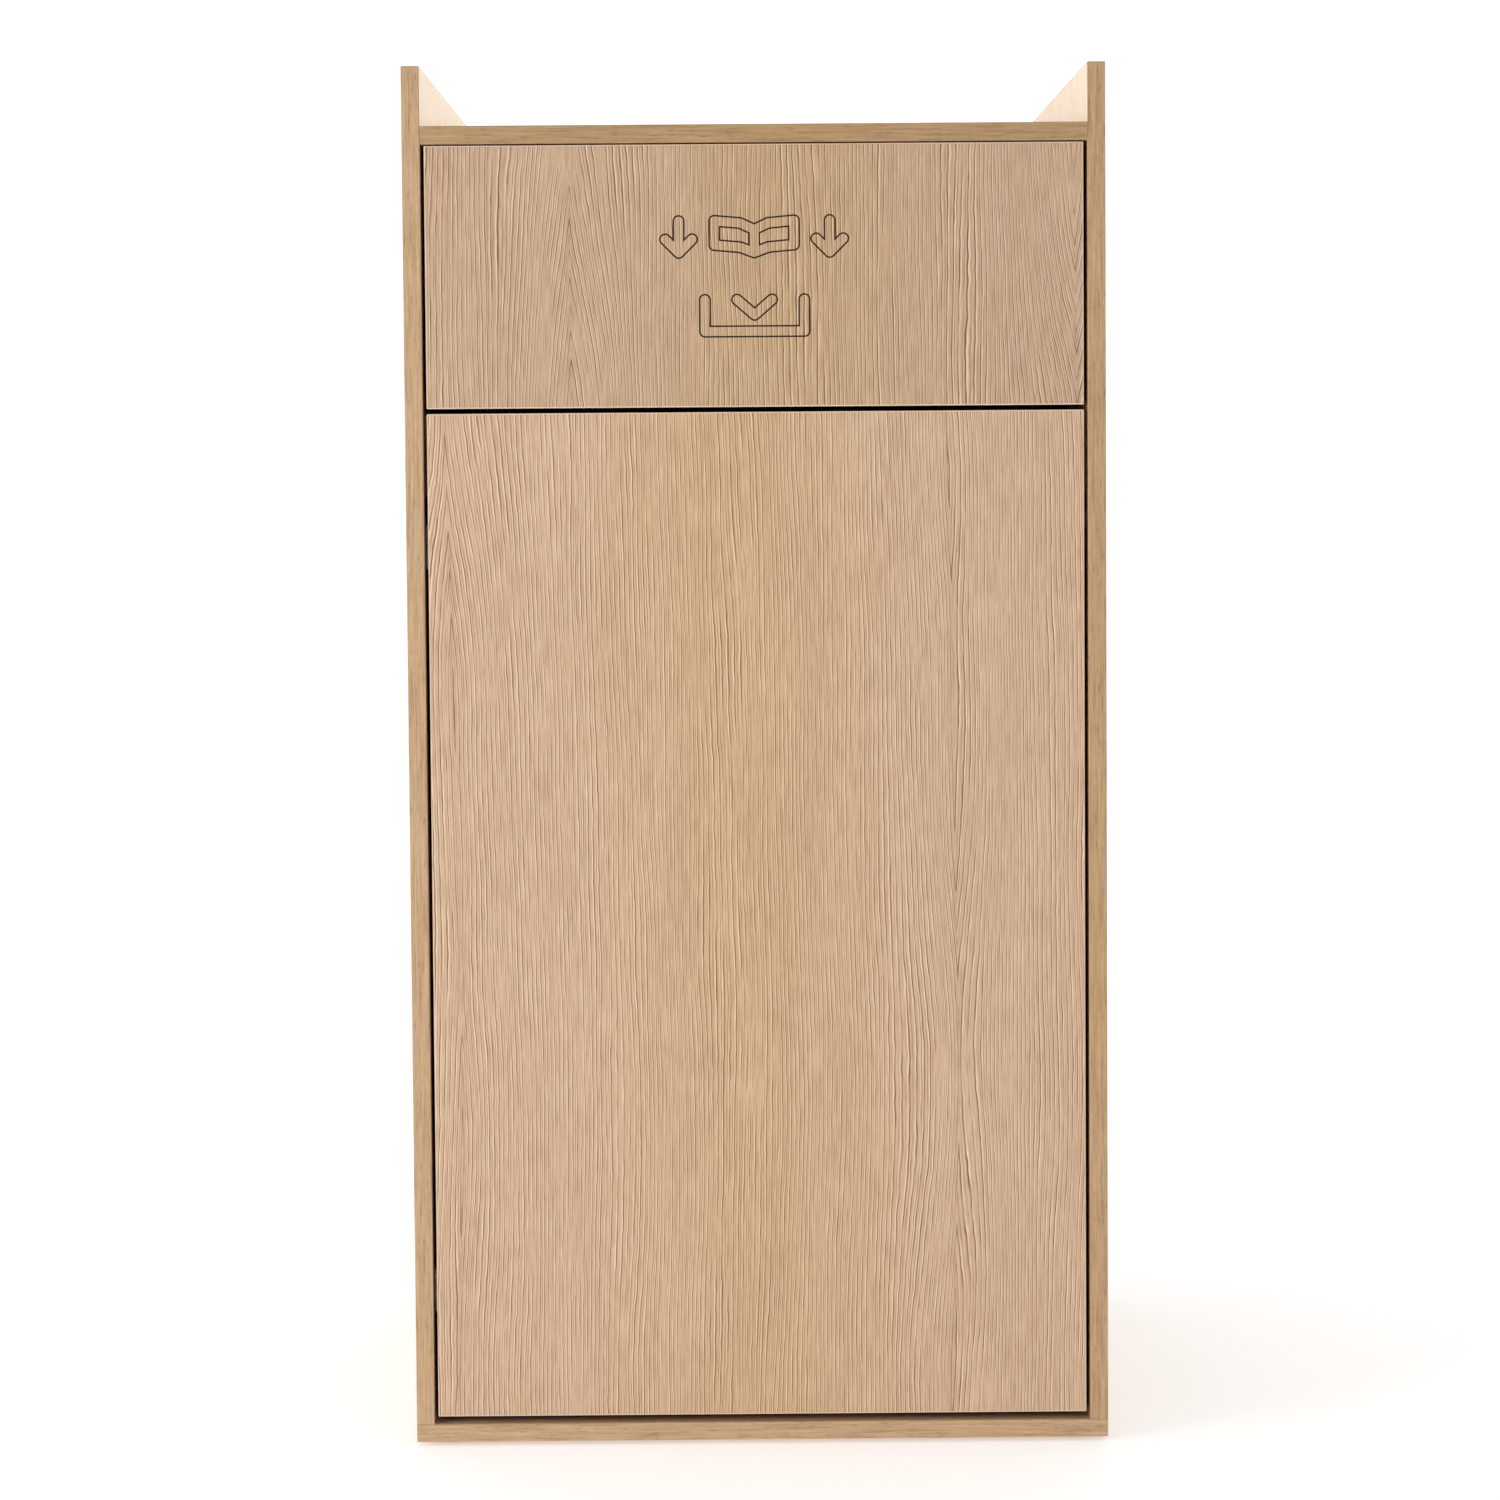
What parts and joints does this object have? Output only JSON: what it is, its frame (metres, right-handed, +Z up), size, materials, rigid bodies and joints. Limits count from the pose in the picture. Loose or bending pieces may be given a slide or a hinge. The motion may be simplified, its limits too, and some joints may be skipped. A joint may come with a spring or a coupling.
{
  "type": "book drop box",
  "caption": "Free-standing book drop cabinet in wood-grain board: a push flap over a tall door, a tray top with raised side rails, and a lift-out bin inside.",
  "frame": {"origin": "on the floor, at the bottom centre of the cabinet's square footprint", "axes": "+X to the right as seen from the front, +Y from the front into the cabinet, +Z up"},
  "size_m": [0.6, 0.6, 1.19],
  "materials": {
    "laminated_board": "light wood-grain laminate, low sheen",
    "edge_band": "light wood-grain edge band, low sheen",
    "beech": "bare compressed beech",
    "glide_plastic": "black moulded plastic",
    "rubber": "soft black rubber",
    "bin_plastic": "grey moulded polyethylene",
    "latch_plastic": "light grey moulded plastic",
    "white_nylon": "natural nylon",
    "zinc": "zinc plated",
    "spring_steel": "drawn spring steel",
    "nickel_steel": "nickel plated pressed steel"
  },
  "bodies": {
    "cabinet": {"back_panel": "laminated_board", "back_panel_edge_band": "edge_band", "base_board": "laminated_board", "base_board_edge_band": "edge_band", "cam_bolts": "zinc", "cam_discs": "zinc", "confirmat_screws": "zinc", "door_hinge_arm_screws": "zinc", "door_hinge_plate_screws": "zinc", "door_lower_hinge_arm": "nickel_steel", "door_lower_hinge_mounting_plate": "nickel_steel", "door_upper_hinge_arm": "nickel_steel", "door_upper_hinge_mounting_plate": "nickel_steel", "flap_hinge_top_screws": "zinc", "flap_left_hinge_fixed_leaf": "nickel_steel", "flap_left_hinge_pin": "nickel_steel", "flap_left_hinge_torsion_spring": "spring_steel", "flap_right_hinge_fixed_leaf": "nickel_steel", "flap_right_hinge_pin": "nickel_steel", "flap_right_hinge_torsion_spring": "spring_steel", "flap_stop_pads": "rubber", "front_left_glide": "glide_plastic", "front_rail": "laminated_board", "front_rail_edge_band": "edge_band", "front_right_glide": "glide_plastic", "glide_nails": "zinc", "latch_housing": "latch_plastic", "latch_screws": "zinc", "latch_spring": "spring_steel", "left_side_panel": "laminated_board", "left_side_panel_edge_band": "edge_band", "rear_left_glide": "glide_plastic", "rear_right_glide": "glide_plastic", "right_side_panel": "laminated_board", "right_side_panel_edge_band": "edge_band", "top_board": "laminated_board", "top_board_edge_band": "edge_band", "wood_dowels": "beech"},
    "flap": {"flap_hinge_bushes": "white_nylon", "flap_hinge_flap_screws": "zinc", "flap_left_hinge_moving_leaf": "nickel_steel", "flap_panel": "laminated_board", "flap_panel_edge_band": "edge_band", "flap_right_hinge_moving_leaf": "nickel_steel"},
    "door": {"door_hinge_cup_screws": "zinc", "door_lower_hinge_cup": "nickel_steel", "door_lower_hinge_pin": "nickel_steel", "door_panel": "laminated_board", "door_panel_edge_band": "edge_band", "door_upper_hinge_cup": "nickel_steel", "door_upper_hinge_pin": "nickel_steel", "latch_strike": "nickel_steel", "latch_strike_screw": "zinc"},
    "plunger": {"latch_plunger": "white_nylon"},
    "bin": {"collection_bin": "bin_plastic"}
  },
  "joints": [
    {"name": "flap_swing", "type": "hinge", "parent": "cabinet", "child": "flap", "pos_m": [0, -0.278, 1.119], "axis": [1, 0, 0], "range_deg": [0, 80], "stiffness_Nm_per_rad": 0.5, "springref_deg": -45.84},
    {"name": "door_swing", "type": "hinge", "parent": "cabinet", "child": "door", "pos_m": [-0.2653, -0.289, 0.46], "axis": [0, 0, -1], "range_deg": [0, 100]},
    {"name": "plunger_slide", "type": "slide", "parent": "cabinet", "child": "plunger", "axis": [0, -1, 0], "range_m": [0, 0.01]},
    {"name": "bin_lift", "type": "slide", "parent": "cabinet", "child": "bin", "axis": [0, 0, 1], "range_m": [0, 0.03]}
  ],
  "couplings": [
    {"joint": "plunger_slide", "follows": "door_swing", "m_per_rad": 0.005729}
  ]
}
